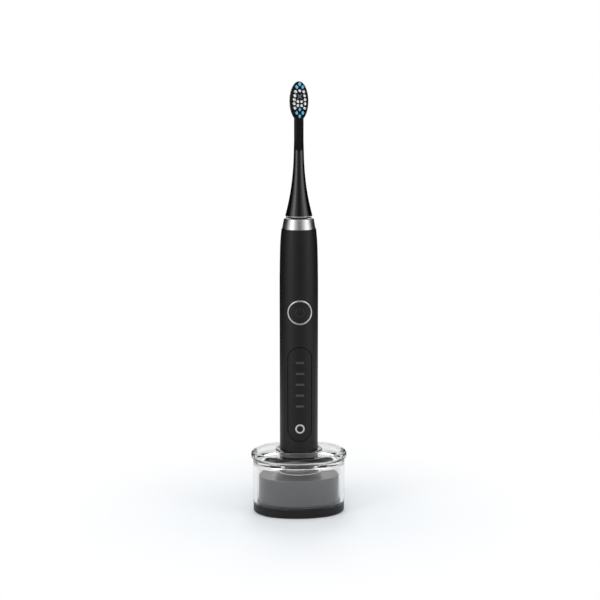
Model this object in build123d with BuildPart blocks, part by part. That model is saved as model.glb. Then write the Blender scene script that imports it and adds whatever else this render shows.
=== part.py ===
from build123d import *
import math
import os

# An electric toothbrush standing in its charger. Sizes are millimetres. The brush's axis is +Z, the front
# with the button and the bristles faces -Y, and the origin is on the ground under the middle of the base.

# Clearances
slide_gap = 0.1
seat_gap = 0.05
press_gap = 0.02
loose_gap = 0.3

# Base, an oval of four arcs seen from above
dock_width = 60.6
dock_depth = 45.6
dock_side_radius = 49.0
base_inset = 0.3
base_height = 5.7
base_floor = 1.7
base_edge_radius = 0.4
cavity_inset = 6.5
ridge_height = 1.2
foot_proud = 0.4
foot_recess = 0.4
foot_inset = 3.3
foot_width = 4.5
gland_radius = 1.75
gland_bore_radius = 1.3
gland_flange_radius = 2.1
gland_flange = 0.8
gland_height = 2.6
gland_length = 6.5
gland_channel = 10.0

# Charger block and the pieces in it
block_inset = 3.9
block_height = 18.7
block_wall = 2.0
block_edge_radius = 0.8
block_seat_depth = 0.9
boss_radius = 2.4
boss_pitch_x = 31.0
boss_pitch_y = 16.0
boss_lift = 0.5
tray_boss_radius = 3.2
screw_head_radius = 2.0
screw_head = 1.3
screw_radius = 1.0
screw_length = 9.0
screw_sink = 1.9
board_post_radius = 1.5
board_post_pitch = 19.0
charger_board_size = 24.0
charger_board_thickness = 1.4
charger_board_lift = 1.5
chip_size = 5.0
chip_height = 1.6
carrier_radius = 10.5
carrier_wall = 1.5
core_radius = 11.0
core_disc = 1.8
core_post_radius = 4.5
core_post = 6.0
coil_radius = 10.6
coil_height = 5.0

# Clear holder
holder_height = 34.4
holder_wall = 2.4
rim_overhang = 1.3
rim_thickness = 5.4
rim_radius = 2.6
rim_lip = 3.2
rim_lip_radius = 1.2
tray_depth = 5.8
tray_floor = 1.6
tray_radius = 4.5
ceiling_radius = 2.0
collar_rise = 1.4
pocket_gap = 0.5
pocket_wall = 2.4
pocket_lift = 2.1
pocket_floor = 1.4
pocket_edge_radius = 1.5
pocket_floor_radius = 0.6
pocket_mouth_radius = 0.8

# Handle shell
handle_diameter = 25.0
handle_wall = 1.8
handle_length = 159.2
shoulder_diameter = 22.3
taper_length = 41.4
shoulder_length = 13.6
taper_draw = 0.35

# Bottom cap with its seal, and the receiver coil above it
cap_flange = 1.5
cap_edge_radius = 0.9
cap_plug = 5.0
seal_groove_height = 2.4
seal_section = 0.5
receiver_core_radius = 9.0
receiver_disc = 1.2
receiver_post_radius = 4.0
receiver_post = 4.8
receiver_coil_radius = 8.6
receiver_coil = 4.2

# Power button, its bright ring and its switch
button_drop = 53.0
button_radius = 6.85
button_travel = 0.5
button_flange_overhang = 0.8
button_flange = 0.9
bezel_width = 1.1
bezel_depth = 1.3
bezel_proud = 0.25
bezel_edge_radius = 0.45
switch_size = 5.0
switch_body = 1.8
plunger_radius = 1.4

# Mode window, light guide and charge ring
window_drop = 22.5
window_length = 62.7
window_width = 15.9
window_depth = 1.2
window_gap = 0.45
window_slot_inset = 3.0
lamp_count = 5
lamp_first = 10.4
lamp_pitch = 7.2
lamp_width = 5.6
lamp_height = 1.4
charge_ring_rise = 8.5
charge_ring_outer = 3.05
charge_ring_inner = 2.1
charge_ring_depth = 0.5

# Inner frame, battery and circuit board
frame_clearance = 0.5
frame_wall = 1.1
bulkhead = 4.0
battery_radius = 7.1
battery_length = 50.0
tab_width = 4.0
tab_thickness = 0.3
board_width = 12.0
board_thickness = 1.0
board_gap = 0.4
board_margin = 0.5
led_width = 1.6
led_height = 0.7
board_chip = 7.0
board_chip_height = 1.2
board_chip_rise = 14.0
board_screw_radius = 0.8
board_screw_head_radius = 1.6
board_screw_head = 0.8
board_screw_length = 5.0
board_screw_side = 3.6

# Motor, shaft and nose
collar_height = 6.6
collar_step = 0.35
collar_top_radius = 9.6
collar_wall = 0.8
collar_edge_radius = 0.3
nose_depth = 11.0
nose_recess = 0.3
nose_bore_radius = 3.2
seal_radius = 5.4
seal_height = 3.2
seal_lip = 0.8
motor_length = 28.0
motor_wall = 0.8
motor_plate = 1.4
bearing_radius = 3.4
bearing_height = 3.0
stator_inset = 4.5
stator_core = 0.9
stator_coil = 1.0
rotor_inset = 6.0
rotor_gap = 0.5
magnet_thickness = 1.25
magnet_count = 4
magnet_turn = 70.0
shaft_radius = 1.9
shaft_flat = 0.5
shaft_reach = 27.0
shaft_flat_length = 12.0

# Brush head
head_gap = 0.5
ring_height = 1.3
ring_inset = 0.15
ring_foot_radius = 7.9
ring_spigot_radius = 6.5
ring_spigot = 2.4
ring_bore_radius = 4.0
head_length = 85.4
skirt_radius = 8.8
flare_radius = 3.75
flare_height = 18.0
flare_top_radius = 3.3
flare_top = 39.5
neck_radius = 3.05
neck_start = 48.0
plate_width = 12.0
plate_length = 25.0
plate_front = 2.4
plate_thickness = 5.0
plate_back_radius = 2.0
plate_front_radius = 0.5
neck_overlap = 6.0
panel_drop = 19.0
panel_width = 4.4
sleeve_rise = 8.0
sleeve_length = 12.0
sleeve_wall = 0.5
sleeve_slit = 1.0

# Bristles, set in round seats in the plate's front
strand_pitch = 0.32
strand_radius = 0.15
strand_length = 9.6
tuft_seat = 0.7
tuft_base = 0.6
cross_arm = 3.8
cross_width = 0.65
cross_length = 7.6
cross_rise = 3.2
cross_base_radius = 0.9
blue_middle_spots = [(0.0, 10.8), (0.0, -4.9), (0.0, -9.1)]
blue_side_spots = [(1.85, 9.0), (1.85, -7.1)]
white_middle_spots = [(0.0, 6.7)]
white_side_spots = [
    (2.5, 6.1),
    (3.0, 3.6),
    (3.35, 1.1),
    (3.35, -1.4),
    (3.0, -4.2),
    (1.15, 0.0),
    (1.15, -2.5),
]

# Heights, from the ground up
base_bottom = foot_proud
base_top = base_bottom + base_height
block_seat = base_top - block_seat_depth
block_top = base_top + block_height
boss_meet = base_top + boss_lift
tray_inside = base_bottom + base_floor
screw_seat = base_bottom + screw_sink
charger_board_bottom = base_top + charger_board_lift
charger_board_top = charger_board_bottom + charger_board_thickness
core_top = block_top - block_wall - loose_gap
core_bottom = core_top - core_post - core_disc
pocket_bottom = block_top + pocket_lift
handle_bottom = pocket_bottom + pocket_floor
rim_top = base_top + holder_height
tray_top = rim_top - tray_depth
tray_underside = tray_top - tray_floor
pocket_top = rim_top + collar_rise
shell_bottom = handle_bottom + cap_flange
shell_top = handle_bottom + handle_length
plug_top = shell_bottom + cap_plug
receiver_top = plug_top + receiver_disc + receiver_post
frame_bottom = receiver_top + loose_gap
battery_bottom = frame_bottom + bulkhead + loose_gap + tab_thickness
battery_top = battery_bottom + battery_length
bulkhead_middle = battery_top + tab_thickness + loose_gap
nose_top = shell_top + collar_height
nose_bottom = shell_top - nose_depth
motor_top = nose_bottom - loose_gap
motor_bottom = motor_top - motor_length
bulkhead_top = motor_bottom - loose_gap - bulkhead
board_bottom = frame_bottom + board_margin
board_top = bulkhead_top + bulkhead - board_margin
button_z = shell_top - button_drop
window_top = button_z - window_drop
window_z = window_top - window_length / 2
charge_ring_z = window_top - window_length + charge_ring_rise
ring_bottom = nose_top + head_gap
skirt_bottom = ring_bottom + ring_height
head_tip = skirt_bottom + head_length
plate_z = head_tip - plate_length / 2
plate_bottom = head_tip - plate_length
panel_bottom = plate_bottom - panel_drop
shaft_top = nose_top + shaft_reach
socket_top = shaft_top + loose_gap
sleeve_bottom = skirt_bottom + sleeve_rise
sleeve_top = sleeve_bottom + sleeve_length

# Radii about the handle's axis
handle_radius = handle_diameter / 2
shoulder_radius = shoulder_diameter / 2
inner_radius = handle_radius - handle_wall
pocket_radius = handle_radius + pocket_gap
collar_radius = pocket_radius + pocket_wall
bezel_seat_radius = handle_radius - bezel_depth
window_seat_radius = handle_radius - window_depth
button_hole_radius = button_radius + slide_gap
bezel_radius = button_hole_radius + bezel_width
flange_outside = inner_radius - slide_gap
flange_inside = flange_outside - button_flange
frame_radius = inner_radius - frame_clearance
frame_inside = frame_radius - frame_wall
motor_radius = frame_inside - slide_gap
motor_inside = motor_radius - motor_wall
stator_outside = motor_inside - seat_gap
coil_outside = stator_outside - stator_core - seat_gap
coil_inside = coil_outside - stator_coil
magnet_radius = coil_inside - rotor_gap
hub_radius = magnet_radius - magnet_thickness - press_gap
collar_foot_radius = shoulder_radius - collar_step
socket_radius = shaft_radius + slide_gap
front_reach = handle_radius + 2 * bezel_proud

# Depths, from the axis to the front
battery_y = frame_inside - battery_radius - slide_gap
board_back = battery_radius - battery_y + board_gap
board_front = board_back + board_thickness
guide_back = board_front + led_height + loose_gap
plunger_end = math.sqrt(flange_inside**2 - plunger_radius**2) - button_travel - seat_gap
lamp_rows = [window_top - lamp_first - lamp_pitch * row for row in range(lamp_count)]

# Board screws, one at each end of the board, on opposite sides of the lamps
lower_board_screw = (-board_screw_side, frame_bottom + bulkhead / 2)
upper_board_screw = (board_screw_side, bulkhead_top + bulkhead / 2)

# Bristle spots on the plate, and the strands of one tuft: a hexagon of two rings about a middle one
white_spots = white_middle_spots + [(side * x, z) for x, z in white_side_spots for side in (-1, 1)]
blue_spots = blue_middle_spots + [(side * x, z) for x, z in blue_side_spots for side in (-1, 1)]
tuft_radius = 2 * strand_pitch + strand_radius + seat_gap


def oval(inset, mode=Mode.ADD):
    """Draw the base's oval of four tangent arcs, drawn in by inset all round."""
    half_width = dock_width / 2 - inset
    half_depth = dock_depth / 2 - inset
    side_radius = dock_side_radius - inset
    side_centre = side_radius - half_depth
    end_centre = (side_centre**2 - (side_radius - half_width) ** 2) / (2 * (side_radius - half_width))
    end_radius = half_width - end_centre
    half_turn = math.degrees(math.atan2(end_centre, side_centre))
    with BuildLine() as outline:
        CenterArc((end_centre, 0), end_radius, half_turn - 90, 180 - 2 * half_turn)
        CenterArc((0, -side_centre), side_radius, 90 - half_turn, 2 * half_turn)
        CenterArc((-end_centre, 0), end_radius, 90 + half_turn, 180 - 2 * half_turn)
        CenterArc((0, side_centre), side_radius, 270 - half_turn, 2 * half_turn)
    make_face(outline.edges(), mode=mode)


def oval_slab(inset, bottom, top, mode=Mode.ADD):
    """Raise the oval, drawn in by inset, from one height to another."""
    with BuildSketch(Plane.XY.offset(bottom)) as outline:
        oval(inset)
    extrude(outline.sketch, amount=top - bottom, mode=mode)


def disc(radius, bottom, top, mode=Mode.ADD):
    """Raise a disc about the axis from one height to another."""
    with BuildSketch(Plane.XY.offset(bottom)) as outline:
        Circle(radius)
    extrude(outline.sketch, amount=top - bottom, mode=mode)


def ring(inner, outer, bottom, top, mode=Mode.ADD):
    """Raise a ring about the axis from one height to another."""
    with BuildSketch(Plane.XY.offset(bottom)) as outline:
        Circle(outer)
        Circle(inner, mode=Mode.SUBTRACT)
    extrude(outline.sketch, amount=top - bottom, mode=mode)


def front_disc(radius, height, mode=Mode.ADD):
    """Push a disc from the axis out through the front."""
    with BuildSketch(Plane.XZ) as outline:
        with Locations((0, height)):
            Circle(radius)
    extrude(outline.sketch, amount=front_reach, mode=mode)


def front_slot(length, width, mode=Mode.ADD):
    """Push the mode window's upright stadium from the axis out through the front."""
    with BuildSketch(Plane.XZ) as outline:
        with Locations((0, window_z)):
            SlotOverall(length, width, rotation=90)
    extrude(outline.sketch, amount=front_reach, mode=mode)


def front_lamps(grow, mode=Mode.ADD):
    """Push the row of mode lamps, each grown all round, from the axis out through the front."""
    with BuildSketch(Plane.XZ) as outline:
        with Locations(*[(0, height) for height in lamp_rows]):
            SlotOverall(lamp_width + 2 * grow, lamp_height + 2 * grow)
    extrude(outline.sketch, amount=front_reach, mode=mode)


def charge_tube(grow, mode=Mode.ADD):
    """Push the charge ring, grown both ways, from the axis out through the front."""
    with BuildSketch(Plane.XZ) as outline:
        with Locations((0, charge_ring_z)):
            Circle(charge_ring_outer + grow)
            Circle(charge_ring_inner - grow, mode=Mode.SUBTRACT)
    extrude(outline.sketch, amount=front_reach, mode=mode)


def keep_layer(inner, outer):
    """Trim the piece to the layer between two radii about the handle's axis."""
    ring(inner, outer, shell_bottom, shell_top, mode=Mode.INTERSECT)


def handle_outline(inset):
    """Draw half the handle, drawn in by inset, with its two tangent curves up to the shoulder."""
    side = handle_radius - inset
    bend = (side - taper_draw, shell_top - shoulder_length)
    with BuildLine() as outline:
        Polyline((0, shell_bottom), (side, shell_bottom), (side, shell_top - taper_length))
        long_curve = TangentArc((side, shell_top - taper_length), bend, tangent=(0, 1))
        TangentArc(bend, (shoulder_radius - inset, shell_top), tangent=long_curve % 1)
        Polyline((shoulder_radius - inset, shell_top), (0, shell_top), (0, shell_bottom))
    make_face(outline.edges())


def flat_edges(piece, height):
    """Give the edges of the piece's flat faces that lie at a height."""
    faces = piece.faces().filter_by(Plane.XY)
    return faces.filter_by_position(Axis.Z, height - seat_gap, height + seat_gap).edges()


def turned(points):
    """Turn a closed outline of radius and height about the axis."""
    with BuildSketch(Plane.XZ) as outline:
        with BuildLine():
            Polyline(*points, close=True)
        make_face()
    revolve(outline.sketch, axis=Axis.Z)


def tufts(spots):
    """Stand a tuft of three-sided strands on a round base at each spot of the plate's front."""
    with BuildSketch(Plane.XZ.offset(plate_front - tuft_base)) as bases:
        with Locations(*[(x, plate_z + z) for x, z in spots]):
            Circle(tuft_radius)
    extrude(bases.sketch, amount=tuft_base)
    strand_spots = [(0.0, 0.0)]
    for step in range(6):
        corner = math.radians(60 * step)
        side = math.radians(60 * step + 30)
        strand_spots.append((strand_pitch * math.cos(corner), strand_pitch * math.sin(corner)))
        strand_spots.append((2 * strand_pitch * math.cos(corner), 2 * strand_pitch * math.sin(corner)))
        between = math.sqrt(3) * strand_pitch
        strand_spots.append((between * math.cos(side), between * math.sin(side)))
    with BuildSketch(Plane.XZ.offset(plate_front)) as strands:
        with Locations(*[(x + dx, plate_z + z + dz) for x, z in spots for dx, dz in strand_spots]):
            RegularPolygon(strand_radius, 3)
    extrude(strands.sketch, amount=strand_length)


def finish(piece, name):
    """Label a piece and write it."""
    piece.part.label = name
    export_step(piece.part, f"parts/{name}.step")


os.makedirs("parts", exist_ok=True)

# Charging base
with BuildPart() as base_tray:
    oval_slab(base_inset, base_bottom, base_top)
    fillet(flat_edges(base_tray, base_bottom), base_edge_radius)
    oval_slab(holder_wall + loose_gap, base_top, base_top + ridge_height)
    oval_slab(block_inset - slide_gap, block_seat, base_top + ridge_height, mode=Mode.SUBTRACT)
    oval_slab(cavity_inset, tray_inside, block_seat, mode=Mode.SUBTRACT)
    with BuildSketch(Plane.XY.offset(base_bottom)):
        oval(foot_inset - seat_gap)
        oval(foot_inset + foot_width + seat_gap, mode=Mode.SUBTRACT)
    extrude(amount=foot_recess, mode=Mode.SUBTRACT)
    with BuildSketch(Plane.XY.offset(tray_inside)):
        with GridLocations(boss_pitch_x, boss_pitch_y, 2, 2):
            Circle(tray_boss_radius)
    extrude(amount=boss_meet - tray_inside)
    with BuildSketch(Plane.XY.offset(tray_inside)):
        with GridLocations(board_post_pitch, board_post_pitch, 2, 2):
            Circle(board_post_radius)
    extrude(amount=charger_board_bottom - tray_inside)
    with BuildSketch(Plane.XY.offset(base_bottom)):
        with GridLocations(boss_pitch_x, boss_pitch_y, 2, 2):
            Circle(screw_head_radius + slide_gap)
    extrude(amount=screw_sink, mode=Mode.SUBTRACT)
    with BuildSketch(Plane.XY.offset(base_bottom)):
        with GridLocations(boss_pitch_x, boss_pitch_y, 2, 2):
            Circle(screw_radius + slide_gap)
    extrude(amount=boss_meet - base_bottom, mode=Mode.SUBTRACT)
    with BuildSketch(Plane.XZ.offset(gland_channel - dock_depth / 2)):
        with Locations((0, base_bottom + gland_height)):
            Circle(gland_radius + seat_gap)
    extrude(amount=-gland_channel, mode=Mode.SUBTRACT)
finish(base_tray, "base_tray")

with BuildPart() as foot_pad:
    with BuildSketch():
        oval(foot_inset)
        oval(foot_inset + foot_width, mode=Mode.SUBTRACT)
    extrude(amount=foot_proud + foot_recess)
finish(foot_pad, "foot_pad")

with BuildPart() as cable_gland:
    with BuildSketch(Plane.XZ.offset(base_inset - dock_depth / 2)):
        with Locations((0, base_bottom + gland_height)):
            Circle(gland_flange_radius)
            Circle(gland_bore_radius, mode=Mode.SUBTRACT)
    extrude(amount=-gland_flange)
    with BuildSketch(Plane.XZ.offset(base_inset - dock_depth / 2)):
        with Locations((0, base_bottom + gland_height)):
            Circle(gland_radius)
            Circle(gland_bore_radius, mode=Mode.SUBTRACT)
    extrude(amount=gland_length)
finish(cable_gland, "cable_gland")

with BuildPart() as charger_block:
    oval_slab(block_inset, block_seat, block_top)
    fillet(flat_edges(charger_block, block_top), block_edge_radius)
    oval_slab(block_inset + block_wall, block_seat, block_top - block_wall, mode=Mode.SUBTRACT)
    with BuildSketch(Plane.XY.offset(boss_meet)):
        with GridLocations(boss_pitch_x, boss_pitch_y, 2, 2):
            Circle(boss_radius)
    extrude(amount=block_top - block_wall - boss_meet)
    with BuildSketch(Plane.XY.offset(boss_meet)):
        with GridLocations(boss_pitch_x, boss_pitch_y, 2, 2):
            Circle(screw_radius + seat_gap)
    extrude(amount=screw_length, mode=Mode.SUBTRACT)
finish(charger_block, "charger_block")

with BuildPart() as charger_screws:
    with BuildSketch(Plane.XY.offset(screw_seat - screw_head)):
        with GridLocations(boss_pitch_x, boss_pitch_y, 2, 2):
            Circle(screw_head_radius)
    extrude(amount=screw_head)
    with BuildSketch(Plane.XY.offset(screw_seat)):
        with GridLocations(boss_pitch_x, boss_pitch_y, 2, 2):
            Circle(screw_radius)
    extrude(amount=screw_length)
finish(charger_screws, "charger_screws")

with BuildPart() as charger_board:
    with BuildSketch(Plane.XY.offset(charger_board_bottom)):
        Rectangle(charger_board_size, charger_board_size)
    extrude(amount=charger_board_thickness)
finish(charger_board, "charger_board")

with BuildPart() as charger_chips:
    with BuildSketch(Plane.XY.offset(charger_board_top)):
        with GridLocations(chip_size + 2 * loose_gap, 0, 2, 1):
            Rectangle(chip_size, chip_size)
    extrude(amount=chip_height)
finish(charger_chips, "charger_chips")

with BuildPart() as coil_carrier:
    ring(carrier_radius - carrier_wall, carrier_radius, charger_board_top, core_bottom)
finish(coil_carrier, "coil_carrier")

with BuildPart() as charger_core:
    disc(core_radius, core_bottom, core_bottom + core_disc)
    disc(core_post_radius, core_bottom + core_disc, core_top)
finish(charger_core, "charger_core")

with BuildPart() as charger_coil:
    coil_bottom = core_bottom + core_disc
    ring(core_post_radius + seat_gap, coil_radius, coil_bottom, coil_bottom + coil_height)
finish(charger_coil, "charger_coil")

# Clear holder, one moulding: a wall under a rolled rim, a sunk tray and a closed pocket for the handle
with BuildPart() as clear_holder:
    oval_slab(-rim_overhang, rim_top - rim_thickness, rim_top)
    fillet(clear_holder.edges().filter_by(GeomType.CIRCLE), rim_radius)
    oval_slab(0, base_top, rim_top - rim_thickness / 2)
    oval_slab(rim_lip, tray_top, rim_top, mode=Mode.SUBTRACT)
    fillet(clear_holder.faces().sort_by(Axis.Z)[-1].inner_wires().edges(), rim_lip_radius)
    fillet(flat_edges(clear_holder, tray_top), tray_radius)
    oval_slab(holder_wall, base_top, tray_underside, mode=Mode.SUBTRACT)
    fillet(flat_edges(clear_holder, tray_underside), ceiling_radius)
    disc(collar_radius, pocket_bottom, pocket_top)
    fillet(flat_edges(clear_holder, pocket_bottom), pocket_edge_radius)
    disc(pocket_radius, handle_bottom, pocket_top, mode=Mode.SUBTRACT)
    fillet(flat_edges(clear_holder, pocket_top), pocket_mouth_radius)
    fillet(flat_edges(clear_holder, handle_bottom), pocket_floor_radius)
finish(clear_holder, "clear_holder")

# Handle shell, with a hole and a seat for the button and its ring, and the same for the mode window
with BuildPart() as bezel_seat:
    front_disc(bezel_radius + press_gap, button_z)
    keep_layer(bezel_seat_radius, front_reach)

with BuildPart() as window_seat:
    front_slot(window_length, window_width)
    keep_layer(window_seat_radius, front_reach)

with BuildPart() as handle_shell:
    with BuildSketch(Plane.XZ):
        handle_outline(0)
    revolve(axis=Axis.Z)
    with BuildSketch(Plane.XZ):
        handle_outline(handle_wall)
    revolve(axis=Axis.Z, mode=Mode.SUBTRACT)
    front_disc(button_hole_radius, button_z, mode=Mode.SUBTRACT)
    add(bezel_seat.part, mode=Mode.SUBTRACT)
    slot_length = window_length - 2 * window_slot_inset
    slot_width = window_width - 2 * window_slot_inset
    front_slot(slot_length, slot_width, mode=Mode.SUBTRACT)
    add(window_seat.part, mode=Mode.SUBTRACT)
finish(handle_shell, "handle_shell")

with BuildPart() as bottom_cap:
    disc(handle_radius - slide_gap, handle_bottom, shell_bottom)
    fillet(flat_edges(bottom_cap, handle_bottom), cap_edge_radius)
    disc(inner_radius - slide_gap, shell_bottom, plug_top)
    groove_bottom = shell_bottom + seal_groove_height - seal_section - slide_gap
    groove_top = shell_bottom + seal_groove_height + seal_section + slide_gap
    groove_radius = inner_radius - 2 * seal_section - 2 * seat_gap
    ring(groove_radius, inner_radius, groove_bottom, groove_top, mode=Mode.SUBTRACT)
finish(bottom_cap, "bottom_cap")

with BuildPart() as bottom_seal:
    with BuildSketch(Plane.XZ):
        with Locations((inner_radius - seal_section - seat_gap, shell_bottom + seal_groove_height)):
            Circle(seal_section)
    revolve(axis=Axis.Z)
finish(bottom_seal, "bottom_seal")

with BuildPart() as receiver_core:
    disc(receiver_core_radius, plug_top, plug_top + receiver_disc)
    disc(receiver_post_radius, plug_top + receiver_disc, receiver_top)
finish(receiver_core, "receiver_core")

with BuildPart() as receiver_winding:
    winding_bottom = plug_top + receiver_disc
    winding_top = winding_bottom + receiver_coil
    ring(receiver_post_radius + seat_gap, receiver_coil_radius, winding_bottom, winding_top)
finish(receiver_winding, "receiver_coil")

# Power button
with BuildPart() as button_ring:
    front_disc(bezel_radius, button_z)
    front_disc(button_hole_radius, button_z, mode=Mode.SUBTRACT)
    keep_layer(bezel_seat_radius + press_gap, handle_radius + bezel_proud)
    fillet(button_ring.faces().sort_by(Axis.Y)[0].edges(), bezel_edge_radius)
finish(button_ring, "button_ring")

with BuildPart() as button_flange_piece:
    front_disc(button_radius + button_flange_overhang, button_z)
    keep_layer(flange_inside, flange_outside)

with BuildPart() as power_button:
    front_disc(button_radius, button_z)
    keep_layer(flange_inside, handle_radius)
    add(button_flange_piece.part)
finish(power_button, "power_button")

with BuildPart() as press_switch:
    with BuildSketch(Plane.XZ.offset(board_front)):
        with Locations((0, button_z)):
            Rectangle(switch_size, switch_size)
    extrude(amount=switch_body)
    with BuildSketch(Plane.XZ.offset(board_front + switch_body)):
        with Locations((0, button_z)):
            Circle(plunger_radius)
    extrude(amount=plunger_end - board_front - switch_body)
finish(press_switch, "press_switch")

# Mode window and what lights it
with BuildPart() as charge_ring_seat:
    charge_tube(press_gap)
    keep_layer(handle_radius - charge_ring_depth, front_reach)

with BuildPart() as mode_window:
    front_slot(window_length - 2 * window_gap, window_width - 2 * window_gap)
    keep_layer(window_seat_radius + press_gap, handle_radius)
    front_lamps(press_gap, mode=Mode.SUBTRACT)
    add(charge_ring_seat.part, mode=Mode.SUBTRACT)
finish(mode_window, "mode_window")

with BuildPart() as charge_ring:
    charge_tube(0)
    keep_layer(handle_radius - charge_ring_depth + press_gap, handle_radius)
finish(charge_ring, "charge_ring")

with BuildPart() as guide_body:
    guide_inset = window_slot_inset + slide_gap
    front_slot(window_length - 2 * guide_inset, window_width - 2 * guide_inset)
    disc(window_seat_radius - press_gap, shell_bottom, shell_top, mode=Mode.INTERSECT)

with BuildPart() as light_guide:
    front_lamps(0)
    disc(handle_radius, shell_bottom, shell_top, mode=Mode.INTERSECT)
    add(guide_body.part)
    with BuildSketch(Plane.XZ):
        with Locations((0, window_z)):
            Rectangle(window_width, window_length)
    extrude(amount=guide_back, mode=Mode.SUBTRACT)
finish(light_guide, "light_guide")

# Inner frame: a half tube behind the motor and the battery, with three bulkheads that carry the board
with BuildPart() as inner_frame:
    front_side = (Align.CENTER, Align.MAX)
    with BuildSketch(Plane.XY.offset(frame_bottom)):
        Circle(frame_radius)
        Circle(frame_inside, mode=Mode.SUBTRACT)
        Rectangle(handle_diameter, handle_diameter, align=front_side, mode=Mode.SUBTRACT)
    extrude(amount=motor_top - frame_bottom)
    for level in (frame_bottom, bulkhead_middle, bulkhead_top):
        with BuildSketch(Plane.XY.offset(level)):
            Circle(frame_radius)
            with Locations((0, -board_back)):
                Rectangle(handle_diameter, handle_diameter, align=front_side, mode=Mode.SUBTRACT)
        extrude(amount=bulkhead)
    with BuildSketch(Plane.XZ.offset(board_back)):
        with Locations(lower_board_screw, upper_board_screw):
            Circle(board_screw_radius + press_gap)
    extrude(amount=-board_screw_length, mode=Mode.SUBTRACT)
finish(inner_frame, "inner_frame")

with BuildPart() as battery_cell:
    with BuildSketch(Plane.XY.offset(battery_bottom)):
        with Locations((0, battery_y)):
            Circle(battery_radius)
    extrude(amount=battery_length)
finish(battery_cell, "battery_cell")

with BuildPart() as battery_tabs:
    for level in (battery_bottom - tab_thickness, battery_top):
        with BuildSketch(Plane.XY.offset(level)):
            with Locations((0, -board_back)):
                Rectangle(tab_width, board_back + battery_y, align=(Align.CENTER, Align.MIN))
        extrude(amount=tab_thickness)
finish(battery_tabs, "battery_tabs")

with BuildPart() as circuit_board:
    with BuildSketch(Plane.XZ.offset(board_back)):
        with Locations((0, board_bottom)):
            Rectangle(board_width, board_top - board_bottom, align=(Align.CENTER, Align.MIN))
        with Locations(lower_board_screw, upper_board_screw):
            Circle(board_screw_radius + slide_gap, mode=Mode.SUBTRACT)
    extrude(amount=board_thickness)
finish(circuit_board, "circuit_board")

with BuildPart() as board_parts:
    with BuildSketch(Plane.XZ.offset(board_front)):
        with Locations(*[(0, height) for height in lamp_rows + [charge_ring_z]]):
            Rectangle(led_width, led_width)
    extrude(amount=led_height)
    with BuildSketch(Plane.XZ.offset(board_back)):
        with Locations((0, bulkhead_middle + board_chip_rise)):
            Rectangle(board_chip, board_chip)
    extrude(amount=-board_chip_height)
finish(board_parts, "board_parts")

with BuildPart() as board_screws:
    with BuildSketch(Plane.XZ.offset(board_front)):
        with Locations(lower_board_screw, upper_board_screw):
            Circle(board_screw_head_radius)
    extrude(amount=board_screw_head)
    with BuildSketch(Plane.XZ.offset(board_front)):
        with Locations(lower_board_screw, upper_board_screw):
            Circle(board_screw_radius)
    extrude(amount=-board_screw_length)
finish(board_screws, "board_screws")

# Motor
with BuildPart() as motor_can:
    ring(motor_inside, motor_radius, motor_bottom, motor_top)
    ring(bearing_radius + seat_gap, motor_inside, motor_top - motor_plate, motor_top)
finish(motor_can, "motor_can")

with BuildPart() as motor_end_plate:
    ring(bearing_radius + seat_gap, stator_outside, motor_bottom, motor_bottom + motor_plate)
finish(motor_end_plate, "motor_end_plate")

with BuildPart() as upper_bearing:
    ring(shaft_radius + seat_gap, bearing_radius, motor_top - bearing_height, motor_top)
finish(upper_bearing, "upper_bearing")

with BuildPart() as lower_bearing:
    ring(shaft_radius + seat_gap, bearing_radius, motor_bottom, motor_bottom + bearing_height)
finish(lower_bearing, "lower_bearing")

with BuildPart() as stator:
    core_inside = stator_outside - stator_core
    ring(core_inside, stator_outside, motor_bottom + stator_inset, motor_top - stator_inset)
finish(stator, "stator_core")

with BuildPart() as stator_winding:
    ring(coil_inside, coil_outside, motor_bottom + stator_inset, motor_top - stator_inset)
finish(stator_winding, "stator_coil")

with BuildPart() as rotor_hub:
    ring(shaft_radius + press_gap, hub_radius, motor_bottom + rotor_inset, motor_top - rotor_inset)
finish(rotor_hub, "rotor_hub")

with BuildPart() as rotor_magnets:
    with BuildSketch(Plane.XY.offset(motor_bottom + rotor_inset)):
        for quarter in range(magnet_count):
            start = 360 / magnet_count * quarter - magnet_turn / 2
            with BuildLine():
                outer = CenterArc((0, 0), magnet_radius, start, magnet_turn)
                inner = CenterArc((0, 0), hub_radius + press_gap, start, magnet_turn)
                Line(outer @ 0, inner @ 0)
                Line(outer @ 1, inner @ 1)
            make_face()
    extrude(amount=motor_length - 2 * rotor_inset)
finish(rotor_magnets, "rotor_magnets")

with BuildPart() as drive_shaft:
    disc(shaft_radius, motor_bottom, shaft_top)
    chamfer(flat_edges(drive_shaft, shaft_top), shaft_flat)
    with BuildSketch(Plane.XY.offset(shaft_top - shaft_flat_length)):
        with Locations((0, shaft_flat - shaft_radius)):
            Rectangle(2 * shaft_radius, shaft_radius, align=(Align.CENTER, Align.MAX))
    extrude(amount=shaft_flat_length, mode=Mode.SUBTRACT)
finish(drive_shaft, "drive_shaft")

# Nose of the handle
with BuildPart() as metal_collar:
    turned([
        (collar_foot_radius - collar_wall, shell_top),
        (collar_foot_radius, shell_top),
        (collar_top_radius, nose_top),
        (collar_top_radius - collar_wall, nose_top),
    ])
    fillet(metal_collar.edges().group_by(Axis.Z)[-1], collar_edge_radius)
finish(metal_collar, "metal_collar")

with BuildPart() as nose_cap:
    seal_seat = nose_top - nose_recess - seal_height
    turned([
        (nose_bore_radius, nose_bottom),
        (shoulder_radius - handle_wall - slide_gap, nose_bottom),
        (shoulder_radius - handle_wall - slide_gap, shell_top),
        (collar_foot_radius - collar_wall - seat_gap, shell_top),
        (collar_top_radius - collar_wall - seat_gap, nose_top - nose_recess),
        (seal_radius, nose_top - nose_recess),
        (seal_radius, seal_seat),
        (nose_bore_radius, seal_seat),
    ])
finish(nose_cap, "nose_cap")

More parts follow.
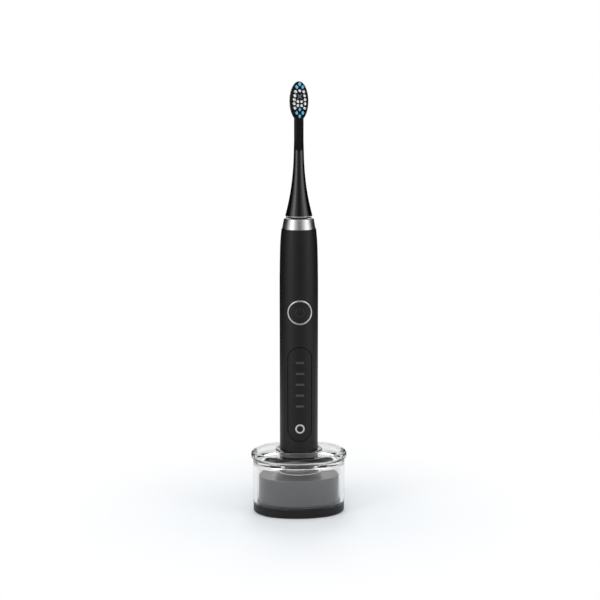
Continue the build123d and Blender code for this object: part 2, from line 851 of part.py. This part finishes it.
with BuildPart() as shaft_seal:
    seal_inside = shaft_radius + slide_gap
    turned([
        (seal_inside, seal_seat),
        (seal_radius - seat_gap, seal_seat),
        (seal_radius - seat_gap, seal_seat + seal_height - seal_lip),
        (seal_inside + seal_lip, seal_seat + seal_height - seal_lip),
        (seal_inside, seal_seat + seal_height),
    ])
finish(shaft_seal, "shaft_seal")

# Brush head: an oval plate on a neck that flares into a round skirt
with BuildPart() as brush_head:
    with BuildSketch(Plane.XZ.offset(plate_front)):
        with Locations((0, plate_z)):
            Ellipse(plate_width / 2, plate_length / 2)
    extrude(amount=-plate_thickness)
    fillet(brush_head.faces().sort_by(Axis.Y)[-1].edges(), plate_back_radius)
    fillet(brush_head.faces().sort_by(Axis.Y)[0].edges(), plate_front_radius)
    with BuildSketch(Plane.XZ):
        with BuildLine():
            flare_end = (flare_top_radius, skirt_bottom + flare_top)
            neck_end = (neck_radius, plate_bottom + neck_overlap)
            Bezier((skirt_radius, skirt_bottom), (flare_radius, skirt_bottom + flare_height), flare_end)
            Polyline(flare_end, (neck_radius, skirt_bottom + neck_start), neck_end)
            RadiusArc(neck_end, (0, neck_end[1] + neck_radius), -neck_radius)
            Polyline((0, neck_end[1] + neck_radius), (0, skirt_bottom), (skirt_radius, skirt_bottom))
        make_face()
    revolve(axis=Axis.Z)
    with BuildSketch(Plane.XZ.offset(plate_front)):
        with Locations((0, panel_bottom + plate_length / 2 + panel_drop / 2)):
            SlotOverall(plate_length + panel_drop, panel_width, rotation=90)
    extrude(amount=flare_top_radius, mode=Mode.SUBTRACT)
    with BuildSketch(Plane.XZ.offset(plate_front)):
        with Locations(*[(x, plate_z + z) for x, z in white_spots + blue_spots]):
            Circle(tuft_radius + seat_gap)
        with Locations((0, plate_z + cross_rise)):
            Circle(cross_base_radius + seat_gap)
    extrude(amount=-tuft_seat, mode=Mode.SUBTRACT)
    spigot_top = skirt_bottom + ring_spigot
    disc(ring_spigot_radius + seat_gap, skirt_bottom, spigot_top + seat_gap, mode=Mode.SUBTRACT)
    disc(socket_radius + sleeve_wall + seat_gap, skirt_bottom, sleeve_top, mode=Mode.SUBTRACT)
    with BuildSketch(Plane.XY.offset(sleeve_top)):
        Circle(socket_radius)
        with Locations((0, shaft_flat - shaft_radius - slide_gap)):
            Rectangle(2 * socket_radius, socket_radius, align=(Align.CENTER, Align.MAX), mode=Mode.SUBTRACT)
    extrude(amount=socket_top - sleeve_top, mode=Mode.SUBTRACT)
finish(brush_head, "brush_head_body")

with BuildPart() as head_ring:
    turned([
        (ring_bore_radius, ring_bottom),
        (ring_foot_radius, ring_bottom),
        (skirt_radius - ring_inset, skirt_bottom),
        (ring_spigot_radius, skirt_bottom),
        (ring_spigot_radius, spigot_top),
        (ring_bore_radius, spigot_top),
    ])
finish(head_ring, "head_ring")

with BuildPart() as shaft_sleeve:
    with BuildSketch(Plane.XY.offset(sleeve_bottom)):
        Circle(socket_radius + sleeve_wall)
        Circle(socket_radius, mode=Mode.SUBTRACT)
        Rectangle(sleeve_slit, 2 * skirt_radius, align=(Align.CENTER, Align.MIN), mode=Mode.SUBTRACT)
    extrude(amount=sleeve_length)
finish(shaft_sleeve, "shaft_sleeve")

# Bristles
with BuildPart() as white_tufts:
    tufts(white_spots)
finish(white_tufts, "white_tufts")

with BuildPart() as blue_tufts:
    tufts(blue_spots)
finish(blue_tufts, "blue_tufts")

with BuildPart() as polishing_cross:
    with BuildSketch(Plane.XZ.offset(plate_front - tuft_base)):
        with Locations((0, plate_z + cross_rise)):
            Circle(cross_base_radius)
    extrude(amount=tuft_base)
    with BuildSketch(Plane.XZ.offset(plate_front)):
        with Locations((0, plate_z + cross_rise)):
            SlotOverall(cross_arm, cross_width, rotation=45)
            SlotOverall(cross_arm, cross_width, rotation=-45)
    extrude(amount=cross_length)
finish(polishing_cross, "polishing_cross")
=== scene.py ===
import math
import random

import bpy
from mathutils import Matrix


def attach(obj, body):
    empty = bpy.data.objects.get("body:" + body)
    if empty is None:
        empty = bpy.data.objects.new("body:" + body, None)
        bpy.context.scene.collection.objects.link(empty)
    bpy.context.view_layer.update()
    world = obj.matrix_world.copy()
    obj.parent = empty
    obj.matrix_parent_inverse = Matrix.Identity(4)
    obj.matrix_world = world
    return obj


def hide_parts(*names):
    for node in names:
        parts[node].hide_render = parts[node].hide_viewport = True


# An electric toothbrush standing in its clear charger. Everything is in metres, in the frame of
# the CAD parts: the brush stands along +Z, and its button and bristles face -Y.
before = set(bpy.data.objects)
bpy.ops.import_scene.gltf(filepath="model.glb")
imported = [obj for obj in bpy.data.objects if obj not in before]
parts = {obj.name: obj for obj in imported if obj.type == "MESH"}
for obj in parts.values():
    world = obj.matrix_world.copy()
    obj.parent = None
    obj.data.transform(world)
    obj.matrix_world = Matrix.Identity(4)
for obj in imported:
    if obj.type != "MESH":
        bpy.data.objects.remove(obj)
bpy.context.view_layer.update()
bpy.ops.object.select_all(action="DESELECT")
bpy.context.scene.view_settings.view_transform = "Standard"
MM = 0.001


# Tools for the finishes

def linear(code):
    """Turn an sRGB hex colour into the linear colour that a shader takes."""
    levels = [int(code[start:start + 2], 16) / 255 for start in (0, 2, 4)]
    return [v / 12.92 if v <= 0.04045 else ((v + 0.055) / 1.055) ** 2.4 for v in levels] + [1.0]


def add(tree, kind, settings=(), values=(), links=()):
    """Add a node with its settings and socket values, and link other outputs to its sockets."""
    node = tree.nodes.new("ShaderNode" + kind)
    for name, setting in dict(settings).items():
        setattr(node, name, setting)
    for socket, value in dict(values).items():
        node.inputs[socket].default_value = value
    for socket, output in dict(links).items():
        tree.links.new(output, node.inputs[socket])
    return node


def start_finish(name, values):
    """Start a material, and give its node tree, its surface shader and the place on the piece."""
    material = bpy.data.materials.new(name)
    material.use_nodes = True
    tree = material.node_tree
    surface = tree.nodes["Principled BSDF"]
    for socket, value in values.items():
        surface.inputs[socket].default_value = value
    place = add(tree, "TexCoord").outputs["Object"]
    return tree, surface, place


def end_finish(tree, surface, pattern, depth_mm, patches, shades, roughness, spread):
    """Put a pattern into a finish's relief, and soft patches into its shade and its gloss."""
    relief = add(tree, "Bump", values={"Distance": depth_mm * MM},
                 links={"Height": pattern.outputs["Fac"]})
    shade = add(tree, "MixRGB", values={"Color1": linear(shades[0]), "Color2": linear(shades[1])},
                links={"Fac": patches.outputs["Fac"]})
    gloss = add(tree, "MapRange",
                values={"To Min": roughness * (1 - spread), "To Max": roughness * (1 + spread)},
                links={"Value": patches.outputs["Fac"]})
    tree.links.new(shade.outputs["Color"], surface.inputs["Base Color"])
    tree.links.new(gloss.outputs["Result"], surface.inputs["Roughness"])
    tree.links.new(relief.outputs["Normal"], surface.inputs["Normal"])


def moulded(name, shade, second_shade, roughness, grain_mm, depth_mm, values=()):
    """A moulded, coated or plated surface: a grain, and broad patches of two shades."""
    patch_mm = 12.0
    gloss_spread = 0.1
    shades = (shade, second_shade)
    tree, surface, place = start_finish(name, dict(values))
    grain = add(tree, "TexNoise", values={"Scale": 1 / (grain_mm * MM), "Detail": 2.0},
                links={"Vector": place})
    patches = add(tree, "TexNoise", values={"Scale": 1 / (patch_mm * MM), "Detail": 3.0},
                  links={"Vector": place})
    end_finish(tree, surface, grain, depth_mm, patches, shades, roughness, gloss_spread)
    return bpy.data.materials[name]


def turned(name, shade, second_shade, roughness, pitch_mm, depth_mm):
    """Metal with lines round the handle's axis, from a tool or from the turns of a winding."""
    patch_mm = 6.0
    gloss_spread = 0.2
    shades = (shade, second_shade)
    wave_repeat = math.pi / 10  # the length of a wave at scale 1
    tree, surface, place = start_finish(name, {"Metallic": 1.0})
    lines = add(tree, "TexWave", {"bands_direction": "Z"},
                {"Scale": wave_repeat / (pitch_mm * MM), "Distortion": 0.4, "Detail": 1.0},
                {"Vector": place})
    patches = add(tree, "TexNoise", values={"Scale": 1 / (patch_mm * MM), "Detail": 4.0},
                  links={"Vector": place})
    end_finish(tree, surface, lines, depth_mm, patches, shades, roughness, gloss_spread)
    return bpy.data.materials[name]


def clear_moulded(name, tint, ior, swirl_mm, depth_mm):
    """A clear moulded plastic: smooth and see-through, with slow swirls in its skin."""
    tree, surface, place = start_finish(name, {
        "Base Color": linear(tint), "Roughness": 0.0, "IOR": ior, "Transmission Weight": 1.0})
    swirls = add(tree, "TexNoise", values={"Scale": 1 / (swirl_mm * MM), "Detail": 0.0},
                 links={"Vector": place})
    skin = add(tree, "Bump", values={"Distance": depth_mm * MM},
               links={"Height": swirls.outputs["Fac"]})
    tree.links.new(skin.outputs["Normal"], surface.inputs["Normal"])
    return bpy.data.materials[name]


def drawn_nylon(name, shaded_root, tip):
    """Nylon filament: milky and a little see-through, with painted shade that makes it deeper at
    the root, where the tufts shade each other, and paler at the tip.
    """
    shaded_y = -5.0 * MM
    lit_y = -11.4 * MM
    strand_mm = 0.5
    strand_spread = 0.3
    tree, surface, place = start_finish(name, {
        "Roughness": 0.4, "IOR": 1.53, "Subsurface Weight": 0.3,
        "Subsurface Radius": (1.0, 1.0, 1.0), "Subsurface Scale": 0.3 * MM})
    axes = add(tree, "SeparateXYZ", links={"Vector": place})
    # Painted shade: the colour runs from the root colour, where the tufts shade each other, to the
    # tip colour; the noise adds each strand's own tone.
    along = add(tree, "MapRange", values={"From Min": shaded_y, "From Max": lit_y},
                links={"Value": axes.outputs["Y"]})
    strands = add(tree, "TexNoise", values={"Scale": 1 / (strand_mm * MM), "Detail": 1.0},
                  links={"Vector": place})
    uneven = add(tree, "Math", {"operation": "MULTIPLY_ADD"},
                 {1: strand_spread, 2: -strand_spread / 2}, {0: strands.outputs["Fac"]})
    light_and_strand_tone = add(tree, "Math", {"operation": "ADD", "use_clamp": True},
                   links={0: along.outputs["Result"], 1: uneven.outputs["Value"]})
    shade = add(tree, "MixRGB", values={"Color1": linear(shaded_root), "Color2": linear(tip)},
                links={"Fac": light_and_strand_tone.outputs["Value"]})
    tree.links.new(shade.outputs["Color"], surface.inputs["Base Color"])
    return bpy.data.materials[name]


# Finishes

# Soft-touch lacquer on ABS: deep charcoal with a broad satin glow and a silky, very fine grain,
# drawn coarser than the real 0.05 mm so that it shows.
shell_lacquer = moulded("soft_touch_lacquer", "141415", "181819", roughness=0.42, grain_mm=0.5,
                        depth_mm=0.003, values={"Specular IOR Level": 0.2})
# Gloss ABS, moulded in a polished tool: near black, with clear but softened streaks of light.
head_abs = moulded("gloss_black_abs", "09090a", "0c0c0d", roughness=0.18, grain_mm=4.0,
                   depth_mm=0.004, values={"Specular IOR Level": 0.55})
# Smoked acrylic over the lamps: as dark as the shell around it and a little smoother.
window_acrylic = moulded("smoked_acrylic", "131314", "161617", roughness=0.36, grain_mm=0.5,
                         depth_mm=0.002, values={"Specular IOR Level": 0.2})
# Spark-eroded ABS on the base: a dry satin black.
base_abs = moulded("spark_eroded_abs", "0d0d0e", "121213", roughness=0.42, grain_mm=0.6,
                   depth_mm=0.006, values={"Specular IOR Level": 0.24})
# Smooth ABS on the block inside the holder: a dark grey, paler than the base.
block_abs = moulded("smooth_grey_abs", "3c3c3e", "414143", roughness=0.3, grain_mm=3.0,
                    depth_mm=0.002, values={"Specular IOR Level": 1.0})
# Smoked polycarbonate lamps, unlit: grey bars that hardly stand out from the window.
lamp_polycarbonate = moulded("smoked_polycarbonate", "2d2e30", "343537", roughness=0.34,
                             grain_mm=0.8, depth_mm=0.002)
# Milky polycarbonate light ring: pale grey, soft inside.
milky_polycarbonate = moulded("milky_polycarbonate", "b0b2b3", "babcbd", roughness=0.35,
                              grain_mm=0.8, depth_mm=0.002,
                              values={"Subsurface Weight": 0.15, "Subsurface Scale": 0.5 * MM})
# Laser-frosted mark on the button: only a shade paler than the lacquer.
frosted_mark = moulded("laser_frosted_lacquer", "2d2e30", "323335", roughness=0.55, grain_mm=0.3,
                       depth_mm=0.004, values={"Specular IOR Level": 0.2})
# Thermoplastic rubber of the polishing cross: a flat grey.
cross_rubber = moulded("grey_soft_rubber", "5f6265", "686b6e", roughness=0.6, grain_mm=0.4,
                       depth_mm=0.006)
# Black silicone and nitrile rubber of the foot, the gland and the seals: matt, with a dry grain.
black_rubber = moulded("black_rubber", "121212", "181818", roughness=0.75, grain_mm=0.5,
                       depth_mm=0.01)
# Turned aluminium collar: satin silver, with fine tool lines, so that what it mirrors fades softly.
collar_aluminium = turned("turned_aluminium", "c4c5c7", "bcbdbf", roughness=0.35, pitch_mm=0.35,
                          depth_mm=0.0006)
# Polished chrome plate on the button's ring: a cool mirror.
ring_chrome = moulded("polished_chrome_plate", "bfc0c2", "b6b7b9", roughness=0.06, grain_mm=3.0,
                      depth_mm=0.002, values={"Metallic": 1.0})
# Satin chrome plate on the head's ring: bright, with a soft edge to what it mirrors.
satin_chrome = moulded("satin_chrome_plate", "f2f3f4", "ebecee", roughness=0.21, grain_mm=3.0,
                       depth_mm=0.002, values={"Metallic": 1.0})
# Ground steel of the shaft, the sleeve, the screws, the battery's tabs and the motor: fine lines.
ground_steel = turned("ground_steel", "b9babd", "a9aaad", roughness=0.3, pitch_mm=0.3,
                      depth_mm=0.002)
# Enamelled copper wire: a warm gloss on even turns of 0.3 mm.
copper_wire = turned("enamelled_copper_wire", "b8703f", "a05c30", roughness=0.28, pitch_mm=0.3,
                     depth_mm=0.06)
# Sintered bronze bearings: dull gold with open pores.
sintered_bronze = moulded("sintered_bronze", "a98752", "8d6f42", roughness=0.45, grain_mm=0.3,
                          depth_mm=0.02, values={"Metallic": 1.0})
# Ferrite cores: dark grey ceramic, dry and speckled.
ferrite = moulded("fired_ferrite", "29292b", "343436", roughness=0.65, grain_mm=0.4,
                  depth_mm=0.02)
# Nickel plate on the rotor's magnets: a warm mirror.
nickel_plate = moulded("nickel_plate", "c9c6bf", "bdbab3", roughness=0.18, grain_mm=2.0,
                       depth_mm=0.002, values={"Metallic": 1.0})
# Shrink sleeve on the battery: thin green film with a soft gloss.
shrink_sleeve = moulded("green_shrink_sleeve", "1f5c36", "276a40", roughness=0.3, grain_mm=3.0,
                        depth_mm=0.02)
# Solder mask on the circuit boards: green lacquer with a soft gloss.
solder_mask = moulded("green_solder_mask", "14502f", "1c6139", roughness=0.35, grain_mm=1.2,
                      depth_mm=0.01)
# Moulded epoxy of the chips and the switch: a dull near-black.
chip_epoxy = moulded("moulded_epoxy", "131314", "1a1a1b", roughness=0.55, grain_mm=0.4,
                     depth_mm=0.008)
# Glass-filled nylon of the inner frame and the coil's carrier: off-white, with a dry skin.
filled_nylon = moulded("glass_filled_nylon", "b9b8b2", "c5c4be", roughness=0.5, grain_mm=0.7,
                       depth_mm=0.01)
# Injection moulded acrylic of the holder: water clear, with bright edges.
clear_acrylic = clear_moulded("clear_acrylic", "f1f1f1", ior=1.49, swirl_mm=15.0, depth_mm=0.01)
# Drawn nylon bristles: white round the sides of the plate, and sky blue at both ends.
# The first colour of each is painted shade towards the root, where the tufts shade each other.
white_nylon = drawn_nylon("white_nylon", "c4c8cb", "fdfdfe")
blue_nylon = drawn_nylon("blue_nylon", "1a66a4", "86d4f6")

finishes = {
    "base_tray": base_abs,
    "foot_pad": black_rubber,
    "cable_gland": black_rubber,
    "charger_block": block_abs,
    "charger_screws": ground_steel,
    "charger_board": solder_mask,
    "charger_chips": chip_epoxy,
    "coil_carrier": filled_nylon,
    "charger_core": ferrite,
    "charger_coil": copper_wire,
    "clear_holder": clear_acrylic,
    "handle_shell": shell_lacquer,
    "bottom_cap": shell_lacquer,
    "bottom_seal": black_rubber,
    "receiver_core": ferrite,
    "receiver_coil": copper_wire,
    "button_ring": ring_chrome,
    "press_switch": chip_epoxy,
    "mode_window": window_acrylic,
    "charge_ring": milky_polycarbonate,
    "light_guide": lamp_polycarbonate,
    "inner_frame": filled_nylon,
    "battery_cell": shrink_sleeve,
    "battery_tabs": ground_steel,
    "circuit_board": solder_mask,
    "board_parts": chip_epoxy,
    "board_screws": ground_steel,
    "motor_can": ground_steel,
    "motor_end_plate": ground_steel,
    "upper_bearing": sintered_bronze,
    "lower_bearing": sintered_bronze,
    "stator_core": ferrite,
    "stator_coil": copper_wire,
    "metal_collar": collar_aluminium,
    "nose_cap": head_abs,
    "shaft_seal": black_rubber,
    "power_button": shell_lacquer,
    "drive_shaft": ground_steel,
    "rotor_hub": ground_steel,
    "rotor_magnets": nickel_plate,
    "brush_head_body": head_abs,
    "head_ring": satin_chrome,
    "shaft_sleeve": ground_steel,
    "polishing_cross": cross_rubber,
}
for name, finish in finishes.items():
    parts[name].material_slots[0].material = finish


# Tools for the new pieces

FORWARD = (math.pi / 2, 0, 0)  # turns what points up to point to the front


def edit_faces(piece, wanted):
    """Open a piece for editing with only the wanted faces selected."""
    bpy.context.view_layer.objects.active = piece
    bpy.ops.object.mode_set(mode="EDIT")
    bpy.context.tool_settings.mesh_select_mode = (False, False, True)
    bpy.ops.mesh.select_all(action="DESELECT")
    bpy.ops.object.mode_set(mode="OBJECT")
    for face in piece.data.polygons:
        face.select = wanted(face)
    bpy.ops.object.mode_set(mode="EDIT")


def copy_of(piece):
    """Copy a piece with a mesh of its own."""
    twin = piece.copy()
    twin.data = piece.data.copy()
    bpy.context.scene.collection.objects.link(twin)
    return twin


def join(pieces, name):
    """Join pieces into one that sits at the origin with its place in its mesh."""
    bpy.ops.object.select_all(action="DESELECT")
    for piece in pieces:
        piece.select_set(True)
    bpy.context.view_layer.objects.active = pieces[0]
    bpy.ops.object.join()
    whole = bpy.context.object
    bpy.ops.object.transform_apply(location=True, rotation=True, scale=True)
    whole.name = name
    whole.data.name = name
    return whole


# Bristles: one filament with a narrowed tip, a tuft of rows that are shorter further out, and a
# copy of the tuft in each seat of the plate. The filaments are drawn thicker than the real 0.15 mm,
# so that they show.
seat_y = -1.8 * MM
tip_y = -12.0 * MM
plate_z = 268.8 * MM
strand_sides = 5
strand_radius = 0.155 * MM
strand_pitch = 0.265 * MM
row_pitch = strand_pitch * math.sqrt(3) / 2
middle_row_count = 6
tip_length = 0.08 * MM
tip_share = 0.75
front_facing = -0.9
smooth_angle = math.radians(50)
strand_lean = 0.008
strand_spin = 6.0
shortest_strand = 0.994
tuft_spin = 0.2
shortest_tuft = 0.985
chance = random.Random(11)

# Seats, in mm to the right of the plate's middle and above it
blue_seats = [(0.0, 10.8), (-1.85, 9.0), (1.85, 9.0), (0.0, -4.9), (-1.85, -7.1), (1.85, -7.1),
              (0.0, -9.1)]
white_pairs = [(2.5, 6.1), (3.0, 3.6), (3.35, 1.1), (3.35, -1.4), (3.0, -4.2), (1.15, 0.0),
               (1.15, -2.5)]
white_seats = [(0.0, 6.7)] + [(side * x, z) for x, z in white_pairs for side in (-1, 1)]

straight = seat_y - tip_y - tip_length
bpy.ops.mesh.primitive_cylinder_add(vertices=strand_sides, radius=strand_radius, depth=straight,
                                    location=(0, -straight / 2, 0), rotation=FORWARD)
strand = bpy.context.object
bpy.ops.object.transform_apply(location=True, rotation=True)
edit_faces(strand, lambda face: face.normal.y < front_facing)
bpy.ops.mesh.extrude_region_move(TRANSFORM_OT_translate={"value": (0, -tip_length, 0)})
bpy.ops.transform.resize(value=(tip_share, 1, tip_share),
                         center_override=(0, -straight - tip_length, 0))
bpy.ops.object.mode_set(mode="OBJECT")

# Each kind's piece, the node it replaces, its slot, material and seats, and its outermost row
tuft_kinds = (
    ("white_bristles", "white_tufts", "white_bristle", white_nylon, white_seats, 3),
    ("blue_bristles", "blue_tufts", "blue_bristle", blue_nylon, blue_seats, 4),
)
for name, node, slot, nylon, seats, outer_row in tuft_kinds:
    strands = []
    for row in range(-outer_row, outer_row + 1):
        count = middle_row_count - abs(row)
        for step in range(count):
            single = copy_of(strand)
            single.location = (strand_pitch * (step - (count - 1) / 2), 0, row_pitch * row)
            single.rotation_euler = (chance.uniform(-strand_lean, strand_lean),
                                     chance.uniform(0, strand_spin),
                                     chance.uniform(-strand_lean, strand_lean))
            single.scale.y = chance.uniform(shortest_strand, 1.0)
            strands.append(single)
    tuft = join(strands, "tuft")
    bpy.ops.object.shade_smooth_by_angle(angle=smooth_angle)
    tufts = []
    for x, z in seats:
        bunch = copy_of(tuft)
        bunch.location = (x * MM, seat_y, plate_z + z * MM)
        bunch.rotation_euler.y = chance.uniform(-tuft_spin, tuft_spin)
        bunch.scale.y = chance.uniform(shortest_tuft, 1.0)
        tufts.append(bunch)
    bpy.data.objects.remove(tuft)
    bristles = join(tufts, name)
    bristles.data.materials.append(nylon)
    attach(bristles, "brush_head")
    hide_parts(node)
bpy.data.objects.remove(strand)

# Power mark: a ring that is open at its top, and a bar, laid on the button's curved front
front_radius = 12.5 * MM
mark_z = 134.5 * MM
mark_radius = 3.0 * MM
mark_sides = 64
mark_width = 0.42 * MM
mark_thickness = 0.02 * MM
opening_z = mark_z + 0.8 * mark_radius
bar_z = mark_z + 0.75 * mark_radius
bar_length = 1.1 * mark_radius
bpy.ops.object.select_all(action="DESELECT")
bpy.ops.mesh.primitive_circle_add(vertices=mark_sides, radius=mark_radius, fill_type="NGON",
                                  location=(0, -front_radius, mark_z), rotation=FORWARD)
ring = bpy.context.object
bpy.ops.object.transform_apply(location=True, rotation=True)
edit_faces(ring, lambda face: True)
bpy.ops.mesh.inset(thickness=mark_width)
bpy.ops.mesh.delete(type="FACE")
bpy.ops.object.mode_set(mode="OBJECT")
edit_faces(ring, lambda face: face.center.z > opening_z)
bpy.ops.mesh.delete(type="FACE")
bpy.ops.object.mode_set(mode="OBJECT")
bpy.ops.mesh.primitive_plane_add(size=1, location=(0, -front_radius, bar_z), rotation=FORWARD)
bar = bpy.context.object
bar.scale = (mark_width, bar_length, 1)
power_mark = join([ring, bar], "power_mark")
wrap = power_mark.modifiers.new("onto_the_front", "CAST")
wrap.cast_type = "CYLINDER"
wrap.factor = 1.0
wrap.use_radius_as_size = False
wrap.size = front_radius
wrap.use_z = False
bpy.ops.object.modifier_apply(modifier=wrap.name)
film = power_mark.modifiers.new("film", "SOLIDIFY")
film.thickness = mark_thickness
film.offset = 0.0
bpy.ops.object.modifier_apply(modifier=film.name)
bpy.ops.object.mode_set(mode="EDIT")
bpy.ops.mesh.select_all(action="SELECT")
bpy.ops.mesh.normals_make_consistent(inside=False)
bpy.ops.object.mode_set(mode="OBJECT")
power_mark.data.materials.append(frosted_mark)
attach(power_mark, "button")


# Tools for the studio

def around(turn, reach, height):
    """Give the place at a turn from the front, a distance from the brush's axis and a height."""
    return (reach * math.sin(turn), -reach * math.cos(turn), height)


def looked_at(tree):
    """Give one to rays from the camera, a mirror or clear plastic, and nought to all others."""
    ray = add(tree, "LightPath")
    mirrored = add(tree, "Math", {"operation": "MAXIMUM"},
                   links={0: ray.outputs["Is Camera Ray"], 1: ray.outputs["Is Glossy Ray"]})
    seen = add(tree, "Math", {"operation": "MAXIMUM"},
               links={0: mirrored.outputs["Value"], 1: ray.outputs["Is Transmission Ray"]})
    return seen.outputs["Value"]


# Camera: a little left of the front and just above the head, looking down at the brush
azimuth = math.radians(-3.5)
camera_distance = 0.960
camera_height = 0.3001
camera_pitch = math.radians(9.425)
aim_right = 0.0008
lens_mm = 89.96
bpy.ops.object.camera_add(location=around(azimuth, camera_distance, camera_height),
                          rotation=(math.pi / 2 - camera_pitch, 0, azimuth - aim_right))
camera = bpy.context.object
camera.data.lens = lens_mm
bpy.context.scene.camera = camera

# World: white where it is looked at, mirrored or looked through, and softer as light
light_level = 0.85
world = bpy.data.worlds.new("studio")
bpy.context.scene.world = world
world.use_nodes = True
world_tree = world.node_tree
backdrop = world_tree.nodes["Background"]
level = add(world_tree, "MapRange", values={"To Min": light_level, "To Max": 1.0},
            links={"Value": looked_at(world_tree)})
backdrop.inputs["Color"].default_value = (1, 1, 1, 1)
world_tree.links.new(level.outputs["Result"], backdrop.inputs["Strength"])

# Floor: white paper that keeps a soft shadow round the dock and runs out into pure white
floor_side = 8.0
paper_from = 0.04
white_from = 0.17
paper_glow = 0.05
bpy.ops.mesh.primitive_plane_add(size=floor_side)
floor = bpy.context.object
floor.name = "floor"
white_paper = bpy.data.materials.new("white_paper")
white_paper.use_nodes = True
floor_tree = white_paper.node_tree
floor_tree.nodes.remove(floor_tree.nodes["Principled BSDF"])
floor_seen = looked_at(floor_tree)
glow = add(floor_tree, "Math", {"operation": "MULTIPLY"}, {1: paper_glow}, {0: floor_seen})
paper = add(floor_tree, "BsdfDiffuse", values={"Color": linear("d4d7da")})
lift = add(floor_tree, "Emission", values={"Color": linear("f8fbff")},
           links={"Strength": glow.outputs["Value"]})
near = add(floor_tree, "AddShader", links={0: paper.outputs["BSDF"], 1: lift.outputs["Emission"]})
far = add(floor_tree, "Emission", links={"Strength": floor_seen})
floor_place = add(floor_tree, "TexCoord")
from_dock = add(floor_tree, "VectorMath", {"operation": "LENGTH"},
                links={0: floor_place.outputs["Object"]})
fade = add(floor_tree, "MapRange", {"interpolation_type": "SMOOTHSTEP"},
           {"From Min": paper_from, "From Max": white_from}, {"Value": from_dock.outputs["Value"]})
both = add(floor_tree, "MixShader", links={
    "Fac": fade.outputs["Result"], 1: near.outputs["Shader"], 2: far.outputs["Emission"]})
floor_tree.links.new(both.outputs["Shader"], floor_tree.nodes["Material Output"].inputs["Surface"])
floor.data.materials.append(white_paper)

# Black card: no light comes back from it
black_card = bpy.data.materials.new("black_card")
black_card.use_nodes = True
black_surface = black_card.node_tree.nodes["Principled BSDF"]
black_surface.inputs["Base Color"].default_value = (0, 0, 0, 1)
black_surface.inputs["Specular IOR Level"].default_value = 0.0

# Graded card: dark in its middle, and white towards its left and right edges
dark_within = 0.02
white_beyond = 0.45
darkest = 0.12
graded_card = bpy.data.materials.new("graded_card")
graded_card.use_nodes = True
card_tree = graded_card.node_tree
card_tree.nodes.remove(card_tree.nodes["Principled BSDF"])
card_place = add(card_tree, "TexCoord")
card_axes = add(card_tree, "SeparateXYZ", links={"Vector": card_place.outputs["UV"]})
sideways = add(card_tree, "Math", {"operation": "SUBTRACT"}, {1: 0.5}, {0: card_axes.outputs["X"]})
from_middle = add(card_tree, "Math", {"operation": "ABSOLUTE"},
                  links={0: sideways.outputs["Value"]})
grade = add(card_tree, "MapRange", {"interpolation_type": "SMOOTHSTEP"},
            {"From Min": dark_within, "From Max": white_beyond, "To Min": darkest},
            {"Value": from_middle.outputs["Value"]})
shine = add(card_tree, "Emission", links={"Strength": grade.outputs["Result"]})
card_tree.links.new(shine.outputs["Emission"], card_tree.nodes["Material Output"].inputs["Surface"])

# Cards that only glossy surfaces mirror: the graded one in front, so that highlights fade softly to
# the centre, and black ones at the sides, so that edges read dark. Each has a turn from the
# camera's side in degrees, a distance, a width and a material.
card_height = 0.64
cards = (
    ("front_card", 4, 0.55, 1.0, graded_card),
    ("left_card", -123, 0.36, 0.58, black_card),
    ("right_card", 130, 0.5, 0.8, black_card),
)
for name, degrees, reach, width, surface in cards:
    turn = azimuth + math.radians(degrees)
    bpy.ops.mesh.primitive_plane_add(size=1, location=around(turn, reach, card_height / 2),
                                     rotation=(math.pi / 2, 0, turn))
    card = bpy.context.object
    card.name = name
    card.scale = (width, card_height, 1)
    card.data.materials.append(surface)
    card.visible_camera = False
    card.visible_diffuse = False
    card.visible_transmission = False
    card.visible_shadow = False

# Lamps: a tall softbox at each side of the camera, a fill light above it that nothing mirrors, and
# a back light. Each has a turn from the camera's side and a tilt in degrees, a distance, a height,
# a width, a length, a power in watts, and whether glossy surfaces mirror it.
lamps = (
    ("left_softbox", -47, 78, 0.8, 0.42, 0.45, 1.0, 2.8, True),
    ("right_softbox", 62, 78, 0.8, 0.42, 0.45, 1.0, 1.9, True),
    ("fill_light", 0, 62, 1.1, 0.8, 0.7, 0.7, 5.0, False),
    ("back_light", 180, 45, 0.7, 0.9, 0.4, 0.4, 3.0, True),
)
for name, degrees, tilt, reach, height, width, length, watts, mirrored in lamps:
    turn = azimuth + math.radians(degrees)
    bpy.ops.object.light_add(type="AREA", location=around(turn, reach, height),
                             rotation=(math.radians(tilt), 0, turn))
    lamp = bpy.context.object
    lamp.name = name
    lamp.data.shape = "RECTANGLE"
    lamp.data.size = width
    lamp.data.size_y = length
    lamp.data.energy = watts
    lamp.visible_glossy = mirrored
